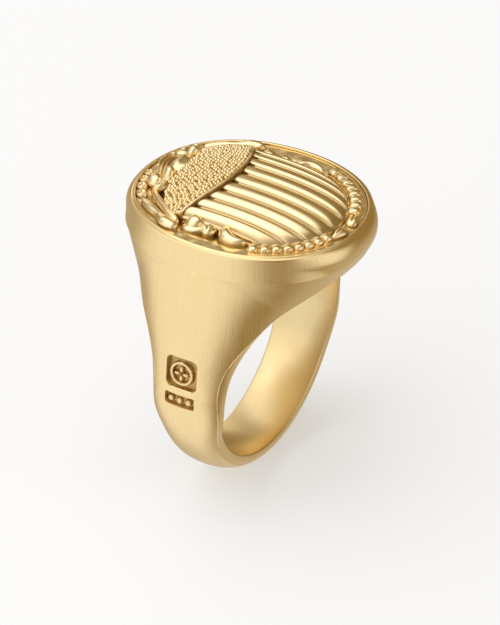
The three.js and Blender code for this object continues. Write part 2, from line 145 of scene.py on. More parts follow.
def curve_through(rows):
    """A smooth curve through (position, value) rows that never overshoots them."""
    at = np.array([row[0] for row in rows], float)
    value = np.array([row[1] for row in rows], float)
    gap = np.diff(at)
    slope = np.diff(value) / gap
    tangent = np.zeros(len(rows))
    tangent[0], tangent[-1] = slope[0], slope[-1]
    for i in range(1, len(rows) - 1):
        if slope[i - 1] * slope[i] > 0:
            left = 2 * gap[i] + gap[i - 1]
            right = gap[i] + 2 * gap[i - 1]
            tangent[i] = (left + right) / (left / slope[i - 1] + right / slope[i])

    def curve(position):
        x = np.clip(position, at[0], at[-1])
        i = np.clip(np.searchsorted(at, x, side="right") - 1, 0, len(rows) - 2)
        t = (x - at[i]) / gap[i]
        return (
            value[i] * (2 * t**3 - 3 * t**2 + 1) + gap[i] * tangent[i] * (t**3 - 2 * t**2 + t)
            + value[i + 1] * (3 * t**2 - 2 * t**3) + gap[i] * tangent[i + 1] * (t**3 - t**2)
        )

    return curve


def oval(half_x, half_y, angle):
    """Points of a slightly squared oval."""
    power = 2 / HEAD_EXPONENT
    c, s = np.cos(angle), np.sin(angle)
    return half_x * np.sign(c) * np.abs(c) ** power, half_y * np.sign(s) * np.abs(s) ** power


# ---- Mesh building ----
def grid_faces(rows, columns, wrap_rows=False, wrap_columns=False):
    """Quads of a grid of vertices numbered row by row."""
    row = np.arange(rows if wrap_rows else rows - 1)
    column = np.arange(columns if wrap_columns else columns - 1)
    i, j = np.meshgrid(row, column, indexing="ij")
    i2, j2 = (i + 1) % rows, (j + 1) % columns
    quads = np.stack([i * columns + j, i * columns + j2, i2 * columns + j2, i2 * columns + j], -1)
    return quads.reshape(-1, 4).tolist()


def add_object(name, data):
    """An object for a mesh, lamp or camera, linked to the scene."""
    added = bpy.data.objects.new(name, data)
    bpy.context.scene.collection.objects.link(added)
    return added


def shade_smooth(mesh):
    mesh.polygons.foreach_set("use_smooth", np.ones(len(mesh.polygons), bool))


def make_piece(name, points, faces, materials, face_slots=None, recess=None, uv=None, sharp=38):
    """A closed, smooth-shaded mesh from points in millimetres, riding on the ring."""
    mesh = bpy.data.meshes.new(name)
    mesh.from_pydata((np.asarray(points, float) * MM).tolist(), [], faces)
    for material in materials:
        mesh.materials.append(material)
    if face_slots is not None:
        mesh.polygons.foreach_set("material_index", np.asarray(face_slots, np.int32))
    if recess is not None:
        layer = mesh.attributes.new("recess", "FLOAT", "POINT")
        layer.data.foreach_set("value", np.clip(np.asarray(recess, np.float32), 0, 1))
    if uv is not None:
        loops = np.zeros(len(mesh.loops), np.int32)
        mesh.loops.foreach_get("vertex_index", loops)
        layer = mesh.uv_layers.new(name="brush")
        layer.data.foreach_set("uv", np.asarray(uv, np.float32)[loops].ravel())
    work = bmesh.new()
    work.from_mesh(mesh)
    bmesh.ops.remove_doubles(work, verts=work.verts, dist=0.0005 * MM)
    bmesh.ops.dissolve_degenerate(work, edges=work.edges, dist=0.0002 * MM)
    bmesh.ops.recalc_face_normals(work, faces=work.faces)
    work.to_mesh(mesh)
    work.free()
    shade_smooth(mesh)
    mesh.set_sharp_from_angle(angle=math.radians(sharp))
    piece = add_object(name, mesh)
    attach(piece, "root")
    return piece


def mirror_points(points):
    mirrored = np.array(points, float)
    mirrored[:, 0] *= -1
    return mirrored


def joined(*shapes):
    """Several shapes, each a pair of points and faces, as one."""
    points, faces, first = [], [], 0
    for shape_points, shape_faces in shapes:
        points.append(shape_points)
        faces += [[index + first for index in face] for face in shape_faces]
        first += len(shape_points)
    return np.vstack(points), faces


def relief_block(x, y, z, base):
    """Closes a grid of surface points down to a flat base. Returns points and faces."""
    rows, columns = x.shape
    top = np.stack([x, y, z], -1).reshape(-1, 3)
    faces = grid_faces(rows, columns)
    edge = [(0, j) for j in range(columns)] + [(i, columns - 1) for i in range(1, rows)]
    edge += [(rows - 1, j) for j in range(columns - 2, -1, -1)]
    edge += [(i, 0) for i in range(rows - 2, 0, -1)]
    ring = np.array([i * columns + j for i, j in edge])
    foot = top[ring].copy()
    foot[:, 2] = base
    middle = foot.mean(0)[None]
    first = len(top)
    count = len(ring)
    for k in range(count):
        after = (k + 1) % count
        faces.append([int(ring[after]), int(ring[k]), first + k, first + after])
        faces.append([first + after, first + k, first + count])
    return np.vstack([top, foot, middle]), faces


def pebble(outline, middle, height, base, levels, squareness, top=None):
    """A domed pebble over a closed outline. `top(x, y, share)` may add ridges to its height."""
    outline = np.asarray(outline, float)
    middle = np.asarray(middle, float)
    count = len(outline)
    rings = []
    for share in np.cos(np.linspace(0, math.pi / 2, levels + 1)[:-1]):
        flat = middle + (outline - middle) * share
        rise = height * (1 - share**squareness) ** (1 / squareness) * np.ones(count)
        if top is not None:
            rise = rise + top(flat[:, 0], flat[:, 1], share)
        rings.append(np.column_stack([flat, base + 0.05 + rise]))
    foot = np.column_stack([outline, np.full(count, base - 0.1)])
    crown = height if top is None else height + float(top(middle[:1], middle[1:2], 0.0)[0])
    tips = [[*middle, base + 0.05 + crown], [*middle, base - 0.1]]
    points = np.vstack([foot] + rings + [tips])
    faces = grid_faces(levels + 1, count, wrap_columns=True)
    last = levels * count
    tip, under = len(points) - 2, len(points) - 1
    for j in range(count):
        k = (j + 1) % count
        faces.append([last + j, last + k, tip])
        faces.append([k, j, under])
    return points, faces


def turned_oval(middle, radii, turn, point=0.0, corners=40):
    """Outline of an oval turned by `turn`; `point` draws its leading end out to a tip."""
    angle = np.linspace(0, 2 * math.pi, corners, endpoint=False)
    along = radii[0] * np.cos(angle)
    across = radii[1] * np.sin(angle) * (1 - point * np.cos(angle))
    c, s = math.cos(turn), math.sin(turn)
    return np.column_stack([middle[0] + along * c - across * s, middle[1] + along * s + across * c])


def along_and_across(x, y, middle, turn):
    """Distances of a place from a middle point, along and across a direction."""
    dx, dy = x - middle[0], y - middle[1]
    c, s = math.cos(turn), math.sin(turn)
    return dx * c + dy * s, dy * c - dx * s


def ground_bar(stops, base, pieces=44, arc=18, squareness=2.0):
    """A rounded bar lying on the ground along a smooth path of (x, y, half-width, height)."""
    stops = np.array(stops, float)
    at = np.linspace(0, 1, len(stops))
    t = np.linspace(0, 1, pieces + 1)
    path = natural_curve(at, stops[:, :2], t)
    ahead = np.gradient(path, axis=0)
    ahead /= np.linalg.norm(ahead, axis=1)[:, None]
    side = np.column_stack([ahead[:, 1], -ahead[:, 0]])
    ends = np.clip(np.minimum(t, 1 - t) / 0.07, 0.0, 1)
    closing = np.sqrt(1 - (1 - ends) ** 2) * 0.97 + 0.03
    half = curve_through(list(zip(at, stops[:, 2])))(t) * closing
    rise = curve_through(list(zip(at, stops[:, 3])))(t) * closing
    turn = np.linspace(0, math.pi, arc + 1)
    c = np.sign(np.cos(turn)) * np.abs(np.cos(turn)) ** (2 / squareness)
    s = np.sin(turn) ** (2 / squareness)
    rows = []
    for i in range(pieces + 1):
        flat = path[i] + side[i] * (half[i] * c)[:, None]
        rows.append(np.column_stack([flat, base + rise[i] * s]))
        rows[-1][[0, -1], 2] = base - 0.1
    points = np.vstack(rows)
    faces = grid_faces(pieces + 1, arc + 1, wrap_columns=True)
    last = pieces * (arc + 1)
    faces.append(list(range(arc, -1, -1)))
    faces.append([last + j for j in range(arc + 1)])
    return points, faces


def natural_curve(at, values, t):
    """Natural cubic spline through rows of values, sampled at t."""
    count = len(at)
    gap = np.diff(at)
    system = np.eye(count)
    right = np.zeros_like(values)
    for i in range(1, count - 1):
        system[i, i - 1:i + 2] = gap[i - 1], 2 * (gap[i - 1] + gap[i]), gap[i]
        ahead, behind = values[i + 1] - values[i], values[i] - values[i - 1]
        right[i] = 6 * (ahead / gap[i] - behind / gap[i - 1])
    bend = np.linalg.solve(system, right)
    i = np.clip(np.searchsorted(at, t, side="right") - 1, 0, count - 2)
    h = gap[i][:, None]
    a = (at[i + 1] - t)[:, None]
    b = (t - at[i])[:, None]
    return (
        bend[i] * a**3 / (6 * h) + bend[i + 1] * b**3 / (6 * h)
        + (values[i] / h - bend[i] * h / 6) * a + (values[i + 1] / h - bend[i + 1] * h / 6) * b
    )


# ---- Materials ----
def fill_inputs(tree, node, inputs):
    """Fills a node's inputs with values or links."""
    for key, value in inputs.items():
        if isinstance(value, bpy.types.NodeSocket):
            tree.links.new(value, node.inputs[key])
        else:
            node.inputs[key].default_value = value


def add_node(tree, kind, inputs=None, **settings):
    """Adds a node, sets its settings and fills its inputs with values or links."""
    node = tree.nodes.new(kind)
    for name, value in settings.items():
        setattr(node, name, value)
    fill_inputs(tree, node, inputs or {})
    return node


def new_material(name):
    material = bpy.data.materials.get(name)
    if material is not None:
        return material, None, None
    material = bpy.data.materials.new(name)
    material.use_nodes = True
    tree = material.node_tree
    tree.nodes.clear()
    shader = add_node(tree, "ShaderNodeBsdfPrincipled", {"Metallic": 1.0})
    add_node(tree, "ShaderNodeOutputMaterial", {"Surface": shader.outputs["BSDF"]})
    return material, tree, shader


def tinted(base, tint):
    """A colour times a tint, opaque."""
    return (*(c * k for c, k in zip(base, tint)), 1.0)


def mottle(tree, shader, pattern, gold, darker, lowest, highest):
    """Lets a soft pattern vary the gold's colour and its roughness."""
    tone = add_node(tree, "ShaderNodeMix", {
        "Factor": pattern, "A": gold, "B": darker}, data_type="RGBA")
    rough = add_node(tree, "ShaderNodeMapRange", {
        "Value": pattern, "From Min": 0.3, "From Max": 0.7, "To Min": lowest, "To Max": highest})
    fill_inputs(tree, shader, {
        "Base Color": tone.outputs["Result"], "Roughness": rough.outputs["Result"]})


def brushed_gold():
    """Brushed gold: the eye gets long soft streaks round the band from fine parallel scratches."""
    material, tree, shader = new_material("brushed_gold")
    if tree is None:
        return material
    # The "brush" UV is in millimetres. The streaks are about 0.25 mm wide and 8 mm long, the
    # scratches 0.08 mm by 3 mm. Real ones are finer, but would be lost at this distance.
    place = add_node(tree, "ShaderNodeUVMap", uv_map="brush").outputs["UV"]
    long_lines = add_node(tree, "ShaderNodeMapping", {"Vector": place, "Scale": (0.12, 4.0, 1.0)})
    fine_lines = add_node(tree, "ShaderNodeMapping", {"Vector": place, "Scale": (0.3, 13.0, 1.0)})
    streaks = add_node(tree, "ShaderNodeTexNoise", {
        "Vector": long_lines.outputs["Vector"], "Scale": 1.0, "Detail": 4.0,
        "Roughness": 0.6}).outputs["Fac"]
    scratches = add_node(tree, "ShaderNodeTexNoise", {
        "Vector": fine_lines.outputs["Vector"], "Scale": 1.0, "Detail": 3.0,
        "Roughness": 0.7}).outputs["Fac"]
    gold = tinted(finish().gold, (1.0, 1.0, 1.0))
    veil = add_node(tree, "ShaderNodeMath", {0: scratches, 1: streaks}, operation="MULTIPLY")
    tone = add_node(tree, "ShaderNodeMix", {
        "Factor": veil.outputs["Value"], "A": gold, "B": tinted(gold, (0.88, 0.82, 0.7))},
        data_type="RGBA")
    satin = finish().satin
    # Painted shade: in the struck stamps the recess attribute mixes the darker shade colour into
    # their hollows.
    recess = add_node(tree, "ShaderNodeAttribute", attribute_name="recess").outputs["Fac"]
    struck = add_node(tree, "ShaderNodeMix", {
        "Factor": recess, "A": tone.outputs["Result"], "B": (*finish().painted_shade_gold, 1.0)},
        data_type="RGBA")
    rough = add_node(tree, "ShaderNodeMapRange", {
        "Value": streaks, "From Min": 0.3, "From Max": 0.7,
        "To Min": satin - 0.07, "To Max": satin + 0.07})
    both = add_node(tree, "ShaderNodeMath", {0: streaks, 1: scratches}, operation="ADD")
    bump = add_node(tree, "ShaderNodeBump", {
        "Height": both.outputs["Value"], "Strength": 0.6, "Distance": 0.014 * MM})
    tangent = add_node(tree, "ShaderNodeTangent", direction_type="UV_MAP", uv_map="brush")
    fill_inputs(tree, shader, {
        "Base Color": struck.outputs["Result"], "Roughness": rough.outputs["Result"],
        "Normal": bump.outputs["Normal"], "Tangent": tangent.outputs["Tangent"],
        "Anisotropic": 0.45})
    return material


def burnished_gold():
    """Polished gold: the eye gets clear reflections, softened by faint hairlines and smears."""
    material, tree, shader = new_material("burnished_gold")
    if tree is None:
        return material
    # 420 to the metre makes smears of about 2.4 mm, 2200 makes hairlines of 0.45 mm and finer.
    spot = add_node(tree, "ShaderNodeTexCoord").outputs["Object"]
    smears = add_node(tree, "ShaderNodeTexNoise", {"Vector": spot, "Scale": 420.0, "Detail": 5.0})
    stretched = add_node(tree, "ShaderNodeMapping", {"Vector": spot, "Scale": (1.0, 9.0, 3.0)})
    hairlines = add_node(tree, "ShaderNodeTexNoise", {
        "Vector": stretched.outputs["Vector"], "Scale": 2200.0, "Detail": 2.0})
    gold = tinted(finish().gold, (1.0, 1.0, 1.0))
    polish = finish().polish
    mottle(tree, shader, smears.outputs["Fac"], gold, tinted(gold, (0.98, 0.93, 0.84)),
           polish - 0.03, polish + 0.06)
    bump = add_node(tree, "ShaderNodeBump", {
        "Height": hairlines.outputs["Fac"], "Strength": 0.25, "Distance": 0.002 * MM})
    fill_inputs(tree, shader, {"Normal": bump.outputs["Normal"]})
    return material


def worn_and_shaded_gold():
    """Gold rubbed by the finger: softer in its shine than the outside, and tinted a little darker
    and less orange as painted shade against the orange light bouncing inside the bore.
    """
    material, tree, shader = new_material("worn_and_shaded_gold")
    if tree is None:
        return material
    # 300 to the metre makes patches of about 3.3 mm.
    spot = add_node(tree, "ShaderNodeTexCoord").outputs["Object"]
    rubbed = add_node(tree, "ShaderNodeTexNoise", {"Vector": spot, "Scale": 300.0, "Detail": 4.0})
    # Painted shade: the tint darkens the gold and takes out some orange, against the light that
    # bounces inside the bore.
    gold = tinted(finish().gold, (0.9, 0.93, 0.98))
    satin = finish().satin
    mottle(tree, shader, rubbed.outputs["Fac"], gold, tinted(gold, (0.95, 0.9, 0.8)),
           satin - 0.05, satin + 0.04)
    return material


def relief_gold():
    """Cast relief: polished tops, and duller gold where the polishing mop can't reach, darkened
    there with painted shade.
    """
    material, tree, shader = new_material("relief_gold")
    if tree is None:
        return material
    # 2600 to the metre makes the cast skin's grain, 0.4 mm and finer; 520 makes 2 mm clouds.
    spot = add_node(tree, "ShaderNodeTexCoord").outputs["Object"]
    recess = add_node(tree, "ShaderNodeAttribute", attribute_name="recess").outputs["Fac"]
    cast = add_node(tree, "ShaderNodeTexNoise", {"Vector": spot, "Scale": 2600.0, "Detail": 4.0})
    cloud = add_node(tree, "ShaderNodeTexNoise", {"Vector": spot, "Scale": 520.0, "Detail": 2.0})
    # Painted shade: the recess attribute, varied by the clouds, sets how much of the darker shade
    # colour is mixed in.
    spread = add_node(tree, "ShaderNodeMapRange", {
        "Value": cloud.outputs["Fac"], "From Min": 0.2, "From Max": 0.8,
        "To Min": 0.8, "To Max": 1.15})
    painted_shade_amount = add_node(tree, "ShaderNodeMath", {0: recess, 1: spread.outputs["Result"]},
                    operation="MULTIPLY", use_clamp=True).outputs["Value"]
    # The clean tops get a paler tint, which tones down the orange light that bounces between the
    # relief's parts.
    tone = add_node(tree, "ShaderNodeMix", {
        "Factor": painted_shade_amount, "A": tinted(finish().gold, (1.0, 1.04, 1.15)),
        "B": (*finish().painted_shade_gold, 1.0)}, data_type="RGBA")
    polish = finish().polish
    rough = add_node(tree, "ShaderNodeMapRange", {
        "Value": painted_shade_amount, "To Min": polish - 0.04, "To Max": polish + 0.2})
    bump = add_node(tree, "ShaderNodeBump", {
        "Height": cast.outputs["Fac"], "Strength": 0.3, "Distance": 0.006 * MM})
    fill_inputs(tree, shader, {
        "Base Color": tone.outputs["Result"], "Roughness": rough.outputs["Result"],
        "Normal": bump.outputs["Normal"]})
    return material


# ---- Shape of the ring body ----
class Body:
    """Sizes of the ring in millimetres, taken from the CAD frame, and the curves of its body."""

    def __init__(self):
        to_mm = 1 / MM
        plate_low, plate_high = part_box("crest_plate")
        _, rim_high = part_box("bezel_rim")
        shank_low, shank_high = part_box("shank")
        self.bore = sizes().bore_radius * to_mm
        self.seat = plate_low.z * to_mm
        self.ground = plate_high.z * to_mm
        self.lip = rim_high.z * to_mm
        # The rim's lip stands just outside the plate, and the seat is the rim's outline below.
        self.crest_x = plate_high.x * to_mm + 0.03
        self.crest_y = plate_high.y * to_mm + 0.03
        self.rim_width = rim_high.x * to_mm - self.crest_x
        self.seat_x = self.crest_x + 0.93
        self.seat_y = self.crest_y + 0.80
        self.side = shank_high.x * to_mm
        self.bottom = -shank_low.z * to_mm + 0.08    # cut flat at the foot
        self.foot = -shank_low.z * to_mm
        band = sizes().band_half_width * to_mm
        head_edge = 0.785 * self.seat_y
        # Each curve is a list of heights, and how much of its widening is done at each.
        widening = (
            (-1, 0), (-0.6, 0.01), (-0.2, 0.07), (0.2, 0.14), (0.55, 0.33), (0.8, 0.6), (1, 1))
        self.bore_edge = self.rising(self.bore, band, head_edge, widening)
        closing = ((0, 0), (0.333, 0.14), (0.667, 0.53), (0.875, 0.83), (1, 1))
        self.shoulder = self.rising(self.seat, self.side, self.seat_x, closing)
        flare_low = (self.bore_edge(0.0) + FLANK_STEP) / self.level_share(self.bore, 0.0)
        flaring = ((0, 0), (0.167, 0.075), (0.45, 0.31), (0.658, 0.54), (0.825, 0.77), (1, 1))
        self.flare = self.rising(self.seat, flare_low, self.seat_y, flaring)

    def rising(self, height, low, high, shares):
        """A curve over the height that goes from one width to another."""
        return curve_through([(a * height, mix(low, high, b)) for a, b in shares])

    def level_share(self, x, height):
        """How wide a level slice of the head is at x, as a share of its half-length."""
        share = np.clip(x / self.shoulder(height), 0, 1)
        return np.maximum(1 - share**HEAD_EXPONENT, 0) ** (1 / HEAD_EXPONENT)

    def outside(self, angle):
        """Distance from the finger axis to the outside, at an angle up from the side."""
        if angle <= 0:
            return mix(self.bottom, self.side, smooth(-math.pi / 2, 0, angle))
        reach = self.seat / math.sin(angle)
        if reach * math.cos(angle) <= self.seat_x + 1e-6:
            return reach
        low, high = self.bore, reach
        for _ in range(50):
            middle = (low + high) / 2
            if middle * math.cos(angle) > self.shoulder(middle * math.sin(angle)):
                high = middle
            else:
                low = middle
        return low

    def half_width(self, angle, radius, outside):
        """Half-width of the ring at a radius, at an angle up from the side."""
        share = (radius - self.bore) / (outside - self.bore)
        springing = self.bore_edge(self.bore * math.sin(angle)) + FLANK_STEP
        band = springing * np.maximum(1 - share**2, 0) ** (1 / 2.3)
        height = np.clip(radius * math.sin(angle), 0, self.seat)
        head = self.flare(height) * self.level_share(radius * math.cos(angle), height)
        return mix(band, head, smooth(-25, 40, math.degrees(angle)))


# ---- Stamps on the band ----
def rounded_box(x, y, half_x, half_y, corner):
    """Distance to a rounded rectangle, negative inside."""
    dx = np.abs(x) - half_x + corner
    dy = np.abs(y) - half_y + corner
    outside = np.hypot(np.maximum(dx, 0), np.maximum(dy, 0))
    return outside + np.minimum(np.maximum(dx, dy), 0) - corner


def stamp_relief(y, arc):
    """Depth of the two generic stamps, 0 to 1, at a place on the band in millimetres."""
    x1, y1 = y - 0.06, arc - 2.74
    edge = 0.045
    square = smooth(edge, -edge, rounded_box(x1, y1, 1.45, 1.42, 0.5))
    ring = np.abs(np.hypot(x1, y1) - 0.98) - 0.15
    petal = np.full_like(x1, 9.0)
    for turn in range(4):
        c, s = math.cos(turn * math.pi / 2), math.sin(turn * math.pi / 2)
        along, across = x1 * c + y1 * s, -x1 * s + y1 * c
        petal = np.minimum(petal, np.hypot((along - 0.42) / 1.7, across) - 0.17)
    emblem = smooth(edge, -edge, np.minimum(ring, petal))
    x2, y2 = y - 0.16, arc - 0.06
    bar = smooth(edge, -edge, rounded_box(x2, y2, 1.4, 0.54, 0.14))
    pellets = np.full_like(x2, 9.0)
    for place in (-0.85, 0.0, 0.85):
        pellets = np.minimum(pellets, np.hypot(x2 - place, y2) - 0.27)
    marks = smooth(edge, -edge, pellets)
    return square * (1 - 0.9 * emblem) + bar * (1 - 0.85 * marks)


# ---- Operators ----
class RING_OT_shank(bpy.types.Operator):
    """Builds the band, shoulders and head wall with the polished edge bands and two stamps"""

    bl_idname = "ring.shank"
    bl_label = "Shank"

    def execute(self, context):
        body = Body()
        crown_steps = 86
        corner = math.atan2(body.seat, body.seat_x)
        quarter = list(np.linspace(-math.pi / 2, corner, 128))
        oval_x = body.seat_x * np.cos(np.linspace(0, math.pi / 2, 34)[1:])
        quarter += list(np.arctan2(body.seat, oval_x))
        stamped = sorted(set(quarter) | set(np.radians(np.arange(-8, 26, 0.27))))
        stations = [(1, angle) for angle in quarter]
        stations += [(-1, angle) for angle in reversed(stamped)][1:-1]
        rows = [self.section(body, side, angle, crown_steps) for side, angle in stations]
        columns = len(rows[0][0])
        points = np.vstack([row[0] for row in rows])
        faces = grid_faces(len(rows), columns, wrap_rows=True, wrap_columns=True)
        slots = np.tile(rows[0][1], len(rows))
        steps = [np.linalg.norm(b[0].mean(0) - a[0].mean(0)) for a, b in zip(rows, rows[1:])]
        arc = np.cumsum([0] + steps)
        across = np.concatenate([self.lengths(row[0]) for row in rows])
        uv = np.column_stack([np.repeat(arc, columns), across])
        # Painted shade: 0.8 of each stamp's depth becomes the recess that darkens the gold in the
        # stamps.
        struck = 0.8 * np.concatenate([row[2] for row in rows])
        piece = make_piece(
            "shank_body", points, faces, [brushed_gold(), burnished_gold(), worn_and_shaded_gold()], slots,
            recess=struck, uv=uv)
        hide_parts("shank")
        return {"FINISHED"}

    def lengths(self, loop):
        """Distance along each half of a section from its crown."""
        steps = np.r_[0, np.cumsum(np.linalg.norm(np.diff(loop, axis=0), axis=1))]
        crown = len(steps) // 2
        return np.r_[steps[:crown + 1] - steps[crown], steps[crown + 1:] - steps[crown + 1]]

    def section(self, body, side, angle, crown_steps):
        """One closed section: its points, the material slot of the face after each point, and
        how deep in a stamp each point lies, from 0 to 1."""
        outside = body.outside(angle)
        edge_height = body.bore * math.sin(angle)
        edge = body.bore_edge(edge_height)
        strip = mix(sizes().edge_band / MM, 1.1, smooth(-2, body.bore, edge_height))
        crease = body.bore + strip
        share = np.sin(np.linspace(0, math.pi / 2, crown_steps + 1))
        crown_r = np.r_[crease + 0.02, mix(crease + 0.05, outside, share)]
        crown_y = body.half_width(angle, crown_r, outside)
        crown_y[0] -= 0.05
        crease_y = body.half_width(angle, np.array([crease]), outside)[0]
        soft, easing = 0.12, 0.16
        across = np.linspace(0, edge - soft, 12)
        bore_r = body.bore + easing * (across / edge) ** 2.2
        round_off = np.linspace(0, math.pi / 2, 5)[1:]
        fillet_r = bore_r[-1] + soft * (1 - np.cos(round_off))
        fillet_y = edge - soft + soft * np.sin(round_off)
        along = np.linspace(0, 1, 9)[1:]
        strip_r = mix(fillet_r[-1], crease, along)
        strip_y = mix(edge, crease_y, along) + 0.07 * np.sin(along * math.pi) ** 0.7
        radius = np.r_[bore_r, fillet_r, strip_r, crown_r]
        width = np.r_[across, fillet_y, strip_y, crown_y]
        inside = len(bore_r) + len(fillet_r) - 1
        kinds = np.r_[np.full(inside, 2), np.ones(len(strip_r)), np.zeros(len(crown_r))]
        r = np.r_[radius, radius[:0:-1]]
        y = np.r_[-width, width[:0:-1]]
        if side < 0:
            degrees = math.degrees(angle)
            y = y * (1 + STAMPED_SWELL * smooth(-25, -5, degrees) * smooth(52, 32, degrees))
        kind = np.r_[kinds, 0, kinds[::-1]]
        struck = np.zeros(len(r))
        if side < 0 and STAMPED_ARC[0] < angle < STAMPED_ARC[1]:
            on_crown = (np.abs(y) < 2.2) & (r > body.bore + 0.9)
            struck = np.where(on_crown, stamp_relief(y, np.full_like(y, angle * body.side)), 0)
            r = r - struck * sizes().stamp_depth / MM
        z = np.maximum(r * math.sin(angle), -body.foot)
        return np.column_stack([side * r * math.cos(angle), y, z]), kind.astype(int), struck


class RING_OT_rim(bpy.types.Operator):
    """Builds the polished collar round the crest, with its thin raised lip"""

    bl_idname = "ring.rim"
    bl_label = "Rim"

    def execute(self, context):
        body = Body()
        width = body.rim_width
        height = body.lip - body.seat
        # (outward share, drop share at the finger ends, drop share at the sides)
        rows = np.array([
            (0.0, 1.0, 1.0), (0.0, 0.05, 0.05), (0.03, 0.012, 0.012), (0.09, 0.0, 0.0),
            (0.15, 0.006, 0.006), (0.2, 0.03, 0.03), (0.25, 0.05, 0.05), (0.38, 0.075, 0.07),
            (0.54, 0.13, 0.12), (0.7, 0.21, 0.19), (0.84, 0.32, 0.28), (0.94, 0.44, 0.37),
            (1.0, 0.59, 0.46), (0.99, 0.72, 0.52), (0.95, 0.83, 0.56), (0.9, 0.93, 0.7),
            (0.833, 1.0, 1.0),
        ])
        # At the sides the collar leans straight out to the wall below its lip.
        flush = rows[:, 0].copy()
        flush[7:] = mix(0.418, 0.968, rows[7:, 2])
        step = np.linspace(0, 1, len(rows))
        fine = np.linspace(0, 1, 96)
        out_end, out_side, drop_end, drop_side = (
            curve_through(list(zip(step, column)))(fine)
            for column in (rows[:, 0], flush, rows[:, 1], rows[:, 2]))
        angle = np.linspace(0, 2 * math.pi, 400, endpoint=False)
        to_side = smooth(0.2, 0.75, np.abs(np.cos(angle)))
        loops = []
        for k in range(len(fine)):
            offset = mix(out_end[k], out_side[k], to_side)
            drop = mix(drop_end[k], drop_side[k], to_side)
            x, y = oval(body.crest_x + offset * width, body.crest_y + offset * width, angle)
            loops.append(np.column_stack([x, y, body.lip - drop * height]))
        faces = grid_faces(len(loops), len(angle), wrap_rows=True, wrap_columns=True)
        # The wall's brushing runs up over the collar's lower half at the sides.
        brushed = (fine[:, None] > 0.52) & (to_side[None] > 0.6)
        around = np.cumsum(np.linalg.norm(np.diff(loops[-1], axis=0, append=loops[-1][:1]), axis=1))
        uv = np.array([np.column_stack([body.lip - loop[:, 2], around]) for loop in loops])
        piece = make_piece(
            "bezel_collar", np.vstack(loops), faces, [burnished_gold(), brushed_gold()],
            brushed.astype(int).ravel(), uv=uv.reshape(-1, 2), sharp=70)
        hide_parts("bezel_rim")
        return {"FINISHED"}


class RING_OT_plate(bpy.types.Operator):
    """Builds the sunken plate inside the rim, which climbs to meet the rim's lip"""

    bl_idname = "ring.plate"
    bl_label = "Crest plate"

    def execute(self, context):
        body = Body()
        half_x, half_y = body.crest_x - PLATE_GAP, body.crest_y - PLATE_GAP
        angle = np.linspace(0, 2 * math.pi, 300, endpoint=False)
        shares = np.r_[np.linspace(0.35, 0.96, 40), 0.975, 0.985, 0.992, 0.997]
        loops = [np.tile([[0.0, 0.0, body.ground]], (len(angle), 1))]
        for share in shares:
            x, y = oval(half_x * share, half_y * share, angle)
            rise = PLATE_RISE * float(smooth(0.66, 0.9, share))
            ripple = 0.018 * np.sin(x * 3.1 + 1.3 * y) * np.sin(y * 2.7 - x) * (share < 0.97)
            loops.append(np.column_stack([x, y, body.ground - 0.03 + rise + ripple]))
        x, y = oval(half_x, half_y, angle)
        loops.append(np.column_stack([x, y, np.full_like(x, body.ground - 0.1)]))
        loops.append(np.column_stack([x, y, np.full_like(x, body.seat)]))
        loops.append(np.tile([[0.0, 0.0, body.seat]], (len(angle), 1)))
        points = np.vstack(loops)
        faces = grid_faces(len(loops), len(angle), wrap_columns=True)
        # Painted shade: the ground is darker in the middle, round the beetle and the ornaments, and
        # light near the rim.
        reach = np.hypot(points[:, 0] / body.crest_x, points[:, 1] / body.crest_y)
        recess = mix(0.5, 0.04, smooth(0.7, 0.86, reach))
        piece = make_piece("crest_ground", points, faces, [relief_gold()], recess=recess)
        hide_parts("crest_plate")
        return {"FINISHED"}


def dome_share(x, y, reach_y):
    """Height of the beetle's dome as a share of its rise."""
    left = 1 - np.abs(x / DOME_HALF_X) ** 2.4 - np.abs((y - DOME_CENTRE_Y) / reach_y) ** 2.2
    return np.maximum(left, 0) ** 0.46


def shield_rear(x):
    return SHIELD_REAR_Y + 0.05 * x * x


def shield_front(x):
    share = np.clip(np.abs(x) / (SHIELD_HALF_WIDTH + 0.1), 0, 1)
    return 3.2 + 3.2 * (1 - share**3.6) ** (1 / 2.4)


def shield_top(x, y):
    return SHIELD_RISE * dome_share(x, y, SHIELD_REACH_Y)


